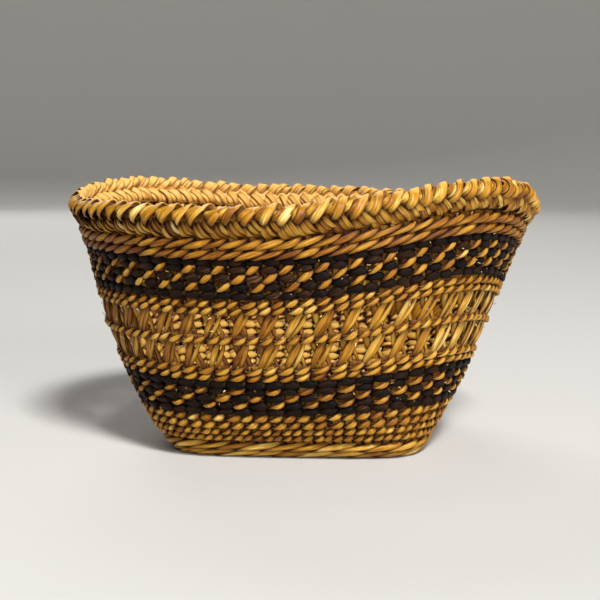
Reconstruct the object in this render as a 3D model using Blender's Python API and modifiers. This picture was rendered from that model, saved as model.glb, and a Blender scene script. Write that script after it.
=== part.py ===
"""A small twined basket with a plaited square base, a flaring wall and a braided rim.

Flat bark strips are plaited over and under each other to make the base, and a thick cord is twined round
its edge. The wall above is a stack of twined courses, each a closed ring of weft that grips the upright
warps. It has two checked bands of dark bark and, between them, two openwork bands where the warps cross in
the open. Two heavy twined ridges and a thick braid close the top.

+Z is up, +X and +Y run along the sides of the square base, and the origin is the middle of the base on the
table. All lengths are in metres and all angles in degrees.
"""

import math

import bmesh
import bpy
from mathutils import Vector

# Clearance left between two pieces that touch, and between courses, whose sections share one lean
GAP = 0.0003
COURSE_GAP = 0.0004

# The wall's outer face: half its size if it flared evenly, how fast it flares, and the length that eases
# the flare off, by the height squared over this length
HALF_WIDTH = 0.0390
HALF_DEPTH = 0.0388
WIDTH_FLARE = 0.527
DEPTH_FLARE = 0.499
FLARE_EASING = 0.455

# The foot of the wall tucks in under it, by this much at the table, and fades out over this height
FOOT_TUCK = 0.0057
FOOT_TUCK_FADE = 0.0065

# Under the rim the wall turns out again, by this much at its top, and this fades out downwards
RIM_SPREAD = 0.00275
RIM_SPREAD_FADE = 0.0070

# The hand-made wall isn't even: its foot reaches further to +X than to -X, its -X side bellies out at
# mid height, and its middle drifts to +X towards the rim. Each grows or fades over a length of its own
FOOT_REACH = 0.0014
FOOT_REACH_FADE = 0.0034
BELLY = 0.0008
BELLY_HEIGHT = 0.0340
BELLY_SPREAD = 0.0130
RIM_DRIFT = 0.0012
RIM_DRIFT_FADE = 0.0150

# The outline seen from above, a rounded square at the table and nearly an ellipse at the rim
BASE_SQUARENESS = 5.3
RIM_SQUARENESS = 2.09
SQUARENESS_FADE = 0.0122

# The hand-made wall rises and dips round the basket: crests in one turn, rise, and direction of a crest
WAVES = (
    (1, 0.0011, 157),
    (2, 0.0030, -44),
    (3, 0.00125, -42),
    (4, 0.00105, -30),
)
WAVE_REACH = 0.060
WAVE_EASING = 0.6

# The plaited base: flat strips both ways, as many as this each way
BASE_STRIPS = 8
BASE_STRIP_SPACING = 0.0016
BASE_STRIP_THICKNESS = 0.0005
BASE_LIFT = 0.0008
RAMP_CLEARANCE = 0.0002

# The cord twined round the edge of the base, which is the part that stands on the table
BASE_CORD_HEIGHT = 0.0050
BASE_CORD_THICKNESS = 0.0042
BASE_CORD_FOOT = 0.0020

# Wall and warps: in the openwork two layers of warp cross, and four legs make one repeat of the crossing
WALL_THICKNESS = 0.0028
WARP_DIAMETER = 0.0012
CROSSING_REPEATS = 24
LEGS_IN_REPEAT = 4

# Height of one course, in each kind of twining
FINE_COURSE = 0.0021
LOWER_PLAIN_COURSE = 0.0024
LOWER_DARK_COURSE = 0.0020
LOWER_CHECKED_COURSE = 0.00205
MIDDLE_PLAIN_COURSE = 0.0019
UPPER_PLAIN_COURSE = 0.00195
UPPER_DARK_COURSE = 0.0025
UPPER_CHECKED_COURSE = 0.0023
TOP_DARK_COURSE = 0.0016
LOWER_OPENWORK = 0.0067
UPPER_OPENWORK = 0.0063

# The checked courses under the rim: stitches round one, how thick it is at a stitch, and the share of that
# between two stitches
CHECKED_STITCHES = 86
CHECKED_THICKNESS = 0.0032
CHECKED_WAIST = 0.72

# The two ridges under the rim: each is three strands that turn about each other, and a groove between two
# lies this share of a strand's distance from the middle
RIDGE_COURSE = 0.00265
RIDGE_THICKNESS = 0.0044
RIDGE_STRANDS = 3
RIDGE_TURNS = 27
RIDGE_GROOVE = 0.72

# The braid that ends the wall: flat bundles that weave over and under each other. In one turn a bundle
# rises and drops from the braid's middle once, and moves out of the wall and into it twice, by the depth.
# A share of the third harmonic straightens its way up and down
BRAID_HEIGHT = 0.0086
BRAID_TURNS = 30
BRAID_RISE = 0.0033
BRAID_DROP = 0.0040
BRAID_STRAIGHTNESS = 0.06
BRAID_DEPTH = 0.0019
BUNDLE_WIDTH = 0.0022
BUNDLE_THICKNESS = 0.0007
BUNDLES = ("rim_braid", "rim_braid_second", "rim_braid_third")

# Points round a ring and sides of its section
RING_POINTS = 28
COURSE_SIDES = 6
CHECKED_SIDES = 5
POINTS_IN_STITCH = 2
POINTS_IN_BRAID_TURN = 8

# Step on the wall that its directions are measured over, in radians round it and in metres up it
WALL_STEP = 0.0002

# Points on the fine outline that a ring's points are chosen from
OUTLINE_SAMPLES = 720

# The wall from the base cord up: name, kind, height of one, how many, and finish
STACK = (
    ("fine_course", "course", FINE_COURSE, 2, "straw"),
    ("lower_plain_course", "course", LOWER_PLAIN_COURSE, 2, "straw"),
    ("lower_dark_course", "course", LOWER_DARK_COURSE, 1, "dark"),
    ("lower_checked_course", "course", LOWER_CHECKED_COURSE, 3, "dark"),
    ("lower_dark_top_course", "course", LOWER_DARK_COURSE, 1, "dark"),
    ("middle_plain_course", "course", MIDDLE_PLAIN_COURSE, 2, "straw"),
    ("lower_crossed_warps", "openwork", LOWER_OPENWORK, 1, "straw"),
    ("openwork_tie_course", "course", MIDDLE_PLAIN_COURSE, 1, "straw"),
    ("upper_crossed_warps", "openwork", UPPER_OPENWORK, 1, "straw"),
    ("upper_plain_course", "course", UPPER_PLAIN_COURSE, 2, "straw"),
    ("upper_dark_course", "course", UPPER_DARK_COURSE, 1, "dark"),
    ("upper_checked_course", "checked", UPPER_CHECKED_COURSE, 3, "dark"),
    ("upper_dark_top_course", "course", TOP_DARK_COURSE, 1, "dark"),
    ("ridge_course", "ridge", RIDGE_COURSE, 2, "straw"),
)

# Top of the wall, and the middle of the braid, which the basket is centred by
STACK_HEIGHT = sum(pitch * count for name, kind, pitch, count, finish in STACK)
WALL_TOP = BASE_CORD_HEIGHT + STACK_HEIGHT + BRAID_HEIGHT
BRAID_MIDDLE = WALL_TOP - BRAID_HEIGHT / 2

# Colour, roughness and metallic value of each finish
FINISHES = {
    "straw": ((0.56, 0.36, 0.13), 0.50, 0.0),
    "dark": ((0.020, 0.016, 0.016), 0.55, 0.0),
    "bark": ((0.36, 0.20, 0.09), 0.65, 0.0),
}


def clear_scene():
    for obj in list(bpy.data.objects):
        bpy.data.objects.remove(obj)


def make_collection(name):
    collection = bpy.data.collections.new(name)
    bpy.context.scene.collection.children.link(collection)
    return collection


def make_material(name, colour, roughness, metallic):
    material = bpy.data.materials.new(name)
    material.use_nodes = True
    shader = material.node_tree.nodes["Principled BSDF"]
    shader.inputs["Base Color"].default_value = (*colour, 1)
    shader.inputs["Roughness"].default_value = roughness
    shader.inputs["Metallic"].default_value = metallic
    return material


def half_size(start, flare, height):
    """Half the wall's outer width or depth at this height, before what differs from side to side."""
    tuck = FOOT_TUCK * math.exp(-height / FOOT_TUCK_FADE)
    spread = RIM_SPREAD * math.exp((height - WALL_TOP) / RIM_SPREAD_FADE)
    return start + flare * height - height**2 / FLARE_EASING - tuck + spread


def foot_reach(height):
    return FOOT_REACH * math.exp(-height / FOOT_REACH_FADE)


def belly(height):
    return BELLY * math.exp(-(((height - BELLY_HEIGHT) / BELLY_SPREAD) ** 2))


def wall_middle(height):
    """How far the middle of the wall stands to +X at this height."""
    drift = RIM_DRIFT * (math.exp((height - BRAID_MIDDLE) / RIM_DRIFT_FADE) - 1)
    return foot_reach(height) - belly(height) + drift


def half_width(height):
    return half_size(HALF_WIDTH, WIDTH_FLARE, height) + foot_reach(height) + belly(height)


def half_depth(height):
    return half_size(HALF_DEPTH, DEPTH_FLARE, height)


def squareness(height):
    """Exponent of the outline, 2 for an ellipse and more for a rounded rectangle."""
    corners = BASE_SQUARENESS - RIM_SQUARENESS
    return RIM_SQUARENESS + corners * math.exp(-height / SQUARENESS_FADE)


def wall_lean(height):
    """Angle between the wall and the vertical at this height, in radians."""
    even = (WIDTH_FLARE + DEPTH_FLARE) / 2 - 2 * height / FLARE_EASING
    reached = foot_reach(height) / FOOT_REACH_FADE / 2
    tucked = FOOT_TUCK / FOOT_TUCK_FADE * math.exp(-height / FOOT_TUCK_FADE)
    spread = RIM_SPREAD / RIM_SPREAD_FADE * math.exp((height - WALL_TOP) / RIM_SPREAD_FADE)
    return math.atan(even - reached + tucked + spread)


def rise(angle, height):
    """How far the hand-made wall stands above its even height in this direction."""
    share = (max(0, height - BASE_CORD_HEIGHT) / WAVE_REACH) ** WAVE_EASING
    crests = [size * math.cos(turns * (angle - math.radians(at))) for turns, size, at in WAVES]
    return share * sum(crests)


def outline_point(angle, half_x, half_y, power):
    """Point of the superellipse |x/a|^n + |y/b|^n = 1 in this direction."""
    across = abs(math.cos(angle) / half_x) ** power + abs(math.sin(angle) / half_y) ** power
    radius = across ** (-1 / power)
    return radius * math.cos(angle), radius * math.sin(angle)


def outline(half_x, half_y, power, count):
    """Points of the superellipse, equally far apart along it."""
    angles = [2 * math.pi * i / OUTLINE_SAMPLES for i in range(OUTLINE_SAMPLES + 1)]
    points = [outline_point(angle, half_x, half_y, power) for angle in angles]
    along = [0]
    for first, second in zip(points, points[1:]):
        along.append(along[-1] + math.dist(first, second))
    chosen = []
    i = 0
    for n in range(count):
        target = along[-1] * n / count
        while along[i + 1] < target:
            i += 1
        share = (target - along[i]) / (along[i + 1] - along[i])
        (x0, y0), (x1, y1) = points[i], points[i + 1]
        chosen.append((x0 + share * (x1 - x0), y0 + share * (y1 - y0)))
    return chosen


def wall_outline(height, inset, count):
    """Points (x, y) round the wall at this height, that far inside its outer face."""
    shape = outline(half_width(height) - inset, half_depth(height) - inset, squareness(height), count)
    return [(x + wall_middle(height), y) for x, y in shape]


def wall_ring(height, inset, count):
    """Points round the wall at this height, raised as the hand-made wall is."""
    return [(x, y, height + rise(math.atan2(y, x), height)) for x, y in wall_outline(height, inset, count)]


def wall_point(angle, height):
    """Point on the wall's outer face in this direction."""
    x, y = outline_point(angle, half_width(height), half_depth(height), squareness(height))
    return Vector((x + wall_middle(height), y, height + rise(angle, height)))


def wall_axes(angle, height):
    """Directions on the wall: along it to the right, up it, and out of it."""
    along = wall_point(angle + WALL_STEP, height) - wall_point(angle - WALL_STEP, height)
    up = wall_point(angle, height + WALL_STEP) - wall_point(angle, height - WALL_STEP)
    out = along.cross(up).normalized()
    return along.normalized(), out.cross(along).normalized(), out


def curve_object(name, collection, points, material, radii=None):
    """A closed line through the points, ready for a section."""
    curve = bpy.data.curves.new(name, "CURVE")
    curve.dimensions = "3D"
    curve.twist_mode = "Z_UP"
    spline = curve.splines.new("POLY")
    spline.points.add(len(points) - 1)
    for n, (point, place) in enumerate(zip(spline.points, points)):
        point.co = (*place, 1)
        point.radius = radii[n] if radii else 1
    spline.use_cyclic_u = True
    curve.materials.append(material)
    obj = bpy.data.objects.new(name, curve)
    collection.objects.link(obj)
    return obj


def section_object(name, collection, points):
    """A closed flat outline that a ring is swept with: x is outwards, y is up, and it runs clockwise."""
    curve = bpy.data.curves.new(name, "CURVE")
    curve.dimensions = "2D"
    spline = curve.splines.new("POLY")
    spline.points.add(len(points) - 1)
    for point, (x, y) in zip(spline.points, points):
        point.co = (x, y, 0, 1)
    spline.use_cyclic_u = True
    obj = bpy.data.objects.new(name, curve)
    obj.hide_render = True
    obj.display_type = "WIRE"
    collection.objects.link(obj)
    return obj


def leaning(points, lean):
    """The section turned so that its upright side leans out with the wall."""
    cos, sin = math.cos(lean), math.sin(lean)
    return [(x * cos + y * sin, -x * sin + y * cos) for x, y in points]


def oval_section(thickness, height, sides):
    """A polygon as wide as thickness and as tall as height, with a flat top and foot, running clockwise."""
    start = math.pi / sides if sides % 4 == 0 else 0
    angles = [start - 2 * math.pi * n / sides for n in range(sides)]
    widest = max(math.cos(angle) for angle in angles)
    tallest = max(math.sin(angle) for angle in angles)
    return [
        (thickness / 2 * math.cos(angle) / widest, height / 2 * math.sin(angle) / tallest)
        for angle in angles
    ]


def sweep_ring(name, points, section, tools, material, radii=None):
    """A closed ring with this section all the way round."""
    parts, guides = tools
    ring = curve_object(name, parts, points, material, radii)
    ring.data.bevel_mode = "OBJECT"
    ring.data.bevel_object = section_object(name + "_section", guides, section)
    return ring


def course_middle(angle, height):
    """The middle of the wall's thickness in this direction, level with its outer face."""
    along = wall_axes(angle, height)[0]
    return wall_point(angle, height) - WALL_THICKNESS / 2 * Vector((along.y, -along.x, 0)).normalized()


def leaning_height(bottom, top):
    """Height of a course's section, along the wall's lean."""
    return (top - bottom - COURSE_GAP) / math.cos(wall_lean((bottom + top) / 2))


def make_course(name, bottom, top, tools, material):
    """One ring between two heights of the wall, centred on the middle of the wall's thickness."""
    middle = (bottom + top) / 2
    points = []
    radii = []
    for x, y in wall_outline(middle, WALL_THICKNESS / 2, RING_POINTS):
        angle = math.atan2(y, x)
        foot, crown = rise(angle, bottom), rise(angle, top)
        points.append((x, y, middle + (foot + crown) / 2))
        radii.append(1 + (crown - foot) / (top - bottom))
    section = oval_section(WALL_THICKNESS, leaning_height(bottom, top), COURSE_SIDES)
    return sweep_ring(name, points, leaning(section, wall_lean(middle)), tools, material, radii)


def make_checked_course(name, bottom, top, tools, material):
    """A course whose stitches stand out of it like beads on a string."""
    middle = (bottom + top) / 2
    count = CHECKED_STITCHES * POINTS_IN_STITCH
    points = []
    radii = []
    for n in range(count):
        angle = 2 * math.pi * n / count
        points.append(course_middle(angle, middle))
        stretch = 1 + (rise(angle, top) - rise(angle, bottom)) / (top - bottom)
        radii.append(stretch * (CHECKED_WAIST if n % POINTS_IN_STITCH else 1))
    section = oval_section(CHECKED_THICKNESS, leaning_height(bottom, top), CHECKED_SIDES)
    return sweep_ring(name, points, leaning(section, wall_lean(middle)), tools, material, radii)


def ring_mesh(name, stations, sides, place, tools, material):
    """A torus whose points are moved to place(station, side)."""
    bpy.ops.mesh.primitive_torus_add(major_segments=stations, minor_segments=sides)
    ring = bpy.context.active_object
    ring.name = name
    for collection in list(ring.users_collection):
        collection.objects.unlink(ring)
    tools[0].objects.link(ring)
    for number, vert in enumerate(ring.data.vertices):
        vert.co = place(*divmod(number, sides))
    ring.data.materials.append(material)
    return ring


def make_ridge(name, bottom, top, tools, material):
    """Strands turned about each other, as one ring: strands and the grooves between them wind round it."""
    middle = (bottom + top) / 2
    stations = RIDGE_TURNS * RIDGE_STRANDS * POINTS_IN_STITCH
    sides = 2 * RIDGE_STRANDS
    height = leaning_height(bottom, top)

    def place(station, side):
        angle = 2 * math.pi * station / stations
        along, up, out = wall_axes(angle, middle)
        stretch = 1 + (rise(angle, top) - rise(angle, bottom)) / (top - bottom)
        turned = RIDGE_TURNS * angle + 2 * math.pi * side / sides
        reach = RIDGE_GROOVE if side % 2 else 1
        outwards = RIDGE_THICKNESS / 2 * math.cos(turned) * reach
        upwards = height / 2 * math.sin(turned) * reach * stretch
        return course_middle(angle, middle) + outwards * out + upwards * up

    ring_mesh(name, stations, sides, place, tools, material)


def braid_station(bundle, station):
    """Where the middle of a bundle passes at a station, and the direction that its flat face has there."""
    angle = 2 * math.pi * station / (BRAID_TURNS * POINTS_IN_BRAID_TURN)
    along, up, out = wall_axes(angle, BRAID_MIDDLE)
    phase = BRAID_TURNS * angle + 2 * math.pi * bundle / len(BUNDLES)
    height = (math.sin(phase) - BRAID_STRAIGHTNESS * math.sin(3 * phase)) / (1 + BRAID_STRAIGHTNESS)
    reach = BRAID_RISE if height > 0 else BRAID_DROP
    depth = BRAID_DEPTH * math.sin(2 * phase) - WALL_THICKNESS / 2
    facing_out = math.copysign(math.sqrt(abs(math.cos(phase))), math.cos(phase))
    facing_up = math.sqrt(1 - facing_out**2)
    place = wall_point(angle, BRAID_MIDDLE) + reach * height * up + depth * out
    return place, facing_out * out + facing_up * up


def cut_quads(ring, stations, corners):
    """Cuts each quad of a twisting flat band in two, from its edge at one station to the other edge at the
    next. The cuts run the same way on both flat faces, which would cross each other otherwise."""
    sides = len(corners)
    mesh = bmesh.new()
    mesh.from_mesh(ring.data)
    mesh.verts.ensure_lookup_table()
    for station in range(stations):
        for side in range(sides):
            start, end = sorted((side, (side + 1) % sides), key=lambda n: (corners[n][1], corners[n][0]))
            near = mesh.verts[station * sides + start]
            far = mesh.verts[(station + 1) % stations * sides + end]
            quad = (set(near.link_faces) & set(far.link_faces)).pop()
            bmesh.utils.face_split(quad, near, far)
    mesh.to_mesh(ring.data)
    mesh.free()


def make_bundle(name, bundle, tools, material):
    """One bundle of the braid, a flat band that wraps over the rim and under the braid's lower edge."""
    corners = ((1, -1), (1, 1), (-1, 1), (-1, -1))
    stations = BRAID_TURNS * POINTS_IN_BRAID_TURN

    def place(station, side):
        before = braid_station(bundle, station - 1)[0]
        middle, face = braid_station(bundle, station)
        after = braid_station(bundle, station + 1)[0]
        across = face.cross(after - before).normalized()
        face = (after - before).cross(across).normalized()
        through, sideways = corners[side]
        return middle + through * BUNDLE_THICKNESS / 2 * face + sideways * BUNDLE_WIDTH / 2 * across

    ring = ring_mesh(name, stations, len(corners), place, tools, material)
    cut_quads(ring, stations, corners)


def make_braid(tools, material):
    for bundle, name in enumerate(BUNDLES):
        make_bundle(name, bundle, tools, material)


def make_base_cord(tools, material):
    """The cord round the base, flat underneath so that the basket stands on it."""
    middle = BASE_CORD_HEIGHT / 2
    half = BASE_CORD_THICKNESS / 2
    foot = BASE_CORD_FOOT / 2
    points = wall_ring(middle, half, RING_POINTS)
    crown = middle - GAP
    right = [(foot, crown), (half, crown / 2), (half, -middle / 2), (foot, -middle)]
    left = [(-x, y) for x, y in reversed(right)]
    return sweep_ring("base_edge_cord", points, right + left, tools, material)


def make_crossed_warps(name, bottom, top, tools, material):
    """Warps that cross in the open between two courses, as two interlocked closed zigzags.

    Each crossing has one leg that leans right, in the outer layer, and one that leans left, in the inner
    layer. A zigzag takes turns: right leg, run along the upper course, left leg, run along the lower course.
    """
    count = CROSSING_REPEATS * LEGS_IN_REPEAT
    radius = WARP_DIAMETER / 2
    clear = radius + GAP
    layer = (WARP_DIAMETER + GAP) / 2
    middle = WALL_THICKNESS / 2
    low, high = bottom + clear, top - clear
    right_leg = [wall_ring(low, middle - layer, count), wall_ring(high, middle - layer, count)]
    left_leg = [wall_ring(high, middle + layer, count), wall_ring(low, middle + layer, count)]
    for half, legs in (("a", right_leg + left_leg), ("b", left_leg + right_leg)):
        points = [legs[n % LEGS_IN_REPEAT][n] for n in range(count)]
        zigzag = curve_object(f"{name}_{half}", tools[0], points, material)
        zigzag.data.bevel_depth = radius
        zigzag.data.bevel_resolution = 0


def base_inner_half(size_at):
    """Half the room inside the base cord, one way."""
    return size_at(BASE_CORD_HEIGHT / 2) - BASE_CORD_THICKNESS - GAP


def strip_pitch(half):
    """From one strip to the next, so that all of them fill the room inside the base cord."""
    return (2 * half - BASE_STRIP_SPACING) / BASE_STRIPS


def strip_reach(offset, width, half_along, half_across):
    """Half the length of the base strip that far from the middle, inside the base cord."""
    power = squareness(BASE_CORD_HEIGHT / 2)
    edge = (abs(offset) + width / 2) / half_across
    return half_along * (1 - edge**power) ** (1 / power)


def make_base_strip(name, number, crosswise, tools, material):
    """One flat strip of the plaited base, over one crossing strip and under the next."""
    halves = base_inner_half(half_width), base_inner_half(half_depth)
    half_along, half_across = reversed(halves) if crosswise else halves
    pitch_along, pitch_across = strip_pitch(half_along), strip_pitch(half_across)
    width = pitch_across - BASE_STRIP_SPACING
    crossing_width = pitch_along - BASE_STRIP_SPACING
    middle = (BASE_STRIPS - 1) / 2
    offset = (number - middle) * pitch_across
    reach = strip_reach(offset, width, half_along, half_across)
    step = (BASE_STRIP_THICKNESS + GAP) / 2
    flat = crossing_width / 2 + RAMP_CLEARANCE
    stations = []
    for crossing in range(BASE_STRIPS):
        place = (crossing - middle) * pitch_along
        over = (number + crossing + crosswise) % 2 == 0
        level = step if over else -step
        for x in (place - flat, place + flat):
            if abs(x) < reach - GAP:
                stations.append((x, level))
    stations = [(-reach, stations[0][1])] + stations + [(reach, stations[-1][1])]

    mesh = bpy.data.meshes.new(name)
    grid = bmesh.new()
    bmesh.ops.create_grid(grid, x_segments=len(stations) - 1, y_segments=1, size=0.5)
    columns = sorted({round(vert.co.x, 6) for vert in grid.verts})
    for vert in grid.verts:
        x, level = stations[columns.index(round(vert.co.x, 6))]
        vert.co = (x, math.copysign(width / 2, vert.co.y), level)
    grid.to_mesh(mesh)
    grid.free()

    strip = bpy.data.objects.new(name, mesh)
    mesh.materials.append(material)
    centre = wall_middle(BASE_CORD_HEIGHT / 2)
    strip.location = (centre, offset, BASE_LIFT + BASE_STRIP_THICKNESS / 2 + step)
    if crosswise:
        strip.location = (centre + offset, 0, strip.location.z)
        strip.rotation_euler.z = math.pi / 2
    solidify = strip.modifiers.new("thickness", "SOLIDIFY")
    solidify.thickness = BASE_STRIP_THICKNESS
    solidify.offset = 0
    tools[0].objects.link(strip)


def make_base(tools, material):
    for crosswise, way in enumerate(("lengthwise", "crosswise")):
        for number in range(BASE_STRIPS):
            make_base_strip(f"base_strip_{way}_{number + 1}", number, crosswise, tools, material)


# What makes each kind of course in the stack
MAKERS = {
    "course": make_course,
    "checked": make_checked_course,
    "openwork": make_crossed_warps,
    "ridge": make_ridge,
}


def make_wall(tools, materials):
    """Stacks the courses, openwork bands and ridges on the base cord."""
    height = BASE_CORD_HEIGHT
    for name, kind, pitch, count, finish in STACK:
        for n in range(count):
            label = f"{name}_{n + 1}" if count > 1 else name
            MAKERS[kind](label, height, height + pitch, tools, materials[finish])
            height += pitch


def main():
    clear_scene()
    tools = make_collection("twined_basket"), make_collection("guides")
    materials = {name: make_material(name, *look) for name, look in FINISHES.items()}
    make_base(tools, materials["bark"])
    make_base_cord(tools, materials["straw"])
    make_wall(tools, materials)
    make_braid(tools, materials["straw"])


main()
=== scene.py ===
"""The looks of a small twined basket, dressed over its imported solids.

Dry grass is twined round upright warps in closed courses. Two bands are checked with dark bark, two bands
leave the warps to cross in the open, two heavy ridges stand under the rim, and a braid of flat grass folds
over the top edge. The base is plaited from flat strips of cedar bark, with a heavy cord twined round it.
All lengths are in metres. +Z is up, and the origin is the middle of the base on the table.
"""

import math

import bpy
import numpy as np
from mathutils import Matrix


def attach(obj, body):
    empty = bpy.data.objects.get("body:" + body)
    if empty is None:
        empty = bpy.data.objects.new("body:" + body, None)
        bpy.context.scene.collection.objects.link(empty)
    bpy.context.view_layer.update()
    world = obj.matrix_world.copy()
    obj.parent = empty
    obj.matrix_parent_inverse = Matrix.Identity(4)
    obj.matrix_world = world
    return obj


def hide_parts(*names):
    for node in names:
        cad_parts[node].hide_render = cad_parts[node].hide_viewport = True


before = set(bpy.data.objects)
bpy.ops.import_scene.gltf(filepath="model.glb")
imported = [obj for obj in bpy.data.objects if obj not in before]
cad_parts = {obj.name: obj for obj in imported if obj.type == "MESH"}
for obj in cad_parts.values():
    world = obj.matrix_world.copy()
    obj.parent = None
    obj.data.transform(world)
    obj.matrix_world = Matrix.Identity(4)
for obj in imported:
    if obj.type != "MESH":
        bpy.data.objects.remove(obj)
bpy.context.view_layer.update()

# The wall's outer face: half its size if it flared evenly, how fast it flares, and the length that eases
# the flare off, by the height squared over this length
HALF_WIDTH = 0.0390
HALF_DEPTH = 0.0388
WIDTH_FLARE = 0.527
DEPTH_FLARE = 0.499
FLARE_EASING = 0.455

# The foot of the wall tucks in under it, by this much at the table, and fades out over this height
FOOT_TUCK = 0.0057
FOOT_TUCK_FADE = 0.0065

# Under the rim the wall turns out again, by this much at its top, and this fades out downwards
RIM_SPREAD = 0.00275
RIM_SPREAD_FADE = 0.0070

# The hand-made wall isn't even: its foot reaches further to +X than to -X, its -X side bellies out at
# mid height, and its middle drifts to +X towards the rim. Each grows or fades over a length of its own
FOOT_REACH = 0.0014
FOOT_REACH_FADE = 0.0034
BELLY = 0.0008
BELLY_HEIGHT = 0.0340
BELLY_SPREAD = 0.0130
RIM_DRIFT = 0.0012
RIM_DRIFT_FADE = 0.0150

# Heights of the wall's top edge and of the braid's middle on the even wall
WALL_TOP = 0.07165
BRAID_MIDDLE = 0.06735

# The outline seen from above, a rounded square at the table and nearly an ellipse at the rim, and how far
# in radians a direction is pushed from the corners to keep stitches as long there as on the sides
BASE_SQUARENESS = 5.3
RIM_SQUARENESS = 2.09
SQUARENESS_FADE = 0.0122
CORNER_SPREAD = 0.05

# The hand-made wall rises and dips round the basket: crests in one turn, rise, and direction of a crest in
# degrees. Then the height over the base cord where the waves are full, and the power by which they grow
WAVES = (
    (1, 0.0011, 157),
    (2, 0.0030, -44),
    (3, 0.00125, -42),
    (4, 0.00105, -30),
)
WAVE_REACH = 0.060
WAVE_EASING = 0.6

# Its back is also lifted: how far at most, at which height of the even wall, over which spread of heights it
# fades out, and over how much of the direction's sine it eases in behind the sides
BACK_LIFT = 0.0026
BACK_LIFT_HEIGHT = 0.028
BACK_LIFT_SPREAD = 0.010
BACK_EASING = 0.16

# Thickness of the wall, and the height of the cord round the base
WALL_THICKNESS = 0.0028
BASE_CORD_HEIGHT = 0.0050

# Steps on the wall that its directions are measured over, a share of the way round and a height, and the
# points that its girth is measured on
SHARE_STEP = 0.0005
HEIGHT_STEP = 0.0002
GIRTH_POINTS = 361

# The plaited base: strips each way, the gap between neighbours, how far their ends tuck into the base cord,
# their thickness, the height of the lowest ones over the table, the cord's thickness, and the gap where two
# strips cross
BASE_STRIPS = 8
BASE_STRIP_SPACING = 0.0005
BASE_TUCK_IN = 0.0013
BASE_STRIP_THICKNESS = 0.0005
BASE_LIFT = 0.0008
BASE_CORD_THICKNESS = 0.0042
BASE_CLEARANCE = 0.0003

# One strip of the base: how much narrower or broader it is by chance, points along it from one crossing to
# the next, how level it lies on a crossing, how far it wavers to the side and over which length, the line
# along it that ends on the rounded outline, as a share of the pitch outwards, its shades, and its dirt
STRIP_WIDTHS = (-0.04, 0.08)
STRIP_POINTS = 12
STRIP_LEVELNESS = 2.5
STRIP_WAVER = 0.0001
STRIP_WAVER_LENGTH = 0.006
STRIP_SHOULDER = 0.125
BASE_TONES = (0.2, 0.8)
BASE_DIRT = 0.3

# Kinds of weft: how many strands turn about each other, the width and thickness of one, how long it holds
# its outermost place before it dives between the warps, how much it is pinched where it dives, and how much
# longer it dwells outside than inside the wall. Then how far it swings outwards and upwards from the middle
# of its course, how far it dips where it is outermost, and how far the course stands out of the wall
WEFTS = {
    "fine": dict(
        strands=2, width=0.00150, thickness=0.00118, hold=1.4, pinch=0.50, dwell=0.0,
        out=0.00096, up=0.00036, dip=0.00014, stand=0.0,
    ),
    "plain": dict(
        strands=2, width=0.00142, thickness=0.00118, hold=1.2, pinch=0.76, dwell=0.12,
        out=0.00104, up=0.00050, dip=0.00026, stand=0.0,
    ),
    "lower": dict(
        strands=2, width=0.00162, thickness=0.00120, hold=1.4, pinch=0.55, dwell=0.0,
        out=0.00100, up=0.00048, dip=0.00024, stand=0.0,
    ),
    "dark": dict(
        strands=2, width=0.00225, thickness=0.00125, hold=2.6, pinch=0.60, dwell=0.0,
        out=0.00090, up=0.00022, dip=0.0, stand=0.0,
    ),
    "upper_tan": dict(
        strands=2, width=0.00160, thickness=0.00090, hold=1.2, pinch=0.62, dwell=0.1,
        out=0.00134, up=0.00104, dip=0.00024, stand=0.0,
    ),
    "lower_tan": dict(
        strands=2, width=0.00136, thickness=0.00090, hold=1.4, pinch=0.60, dwell=0.0,
        out=0.00130, up=0.00046, dip=0.00046, stand=0.0,
    ),
    "ridge": dict(
        strands=3, width=0.00162, thickness=0.00140, hold=0.6, pinch=0.72, dwell=0.5,
        out=0.00124, up=0.00106, dip=0.0, stand=0.0003,
    ),
    "cord": dict(
        strands=3, width=0.00162, thickness=0.00135, hold=0.6, pinch=0.55, dwell=0.5,
        out=0.00122, up=0.00084, dip=0.0, stand=0.0,
    ),
    "footing": dict(
        strands=3, width=0.00146, thickness=0.00130, hold=0.6, pinch=0.55, dwell=0.5,
        out=0.00116, up=0.00060, dip=0.0, stand=0.0,
    ),
}

# The wall from the base cord up: name, height of one course, how many, stitches round it, and weft
STACK = (
    ("fine_course", 0.0021, 2, 104, "fine"),
    ("lower_plain_course", 0.0024, 2, 78, "lower"),
    ("lower_dark_course", 0.0020, 1, 66, "dark"),
    ("lower_checked_course", 0.00205, 3, 66, "lower_checked"),
    ("lower_dark_top_course", 0.0020, 1, 66, "dark"),
    ("middle_plain_course", 0.0019, 2, 74, "plain"),
    ("lower_crossed_warps", 0.0067, 1, 48, "openwork"),
    ("openwork_tie_course", 0.0019, 1, 96, "plain"),
    ("upper_crossed_warps", 0.0063, 1, 48, "openwork"),
    ("upper_plain_course", 0.00195, 2, 92, "plain"),
    ("upper_dark_course", 0.0025, 1, 86, "dark"),
    ("upper_checked_course", 0.0023, 3, 86, "upper_checked"),
    ("upper_dark_top_course", 0.0016, 1, 86, "dark"),
    ("ridge_course", 0.00265, 2, 81, "ridge"),
)

# The base cord has a heavy ply above and a thinner one under it: stitches round each, and their heights. Its
# grass is painted this much paler than that of the courses, as light on the cord under the wall's overhang,
# and that of the ridges is painted this much darker, as shade between their strands
BASE_CORD_PLIES = (("upper", "cord", 39, 0.00345), ("under", "footing", 36, 0.00132))
CORD_PAINTED_LIGHT = 0.10
RIDGE_PAINTED_SHADE = 0.15

# In the checked bands each course starts its dark and tan stitches this share of a turn behind the last. The
# plain and the dark courses start at chance, up to this share of a turn along
CHECK_SHIFT = 0.45
START_STRAY = 0.12

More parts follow.
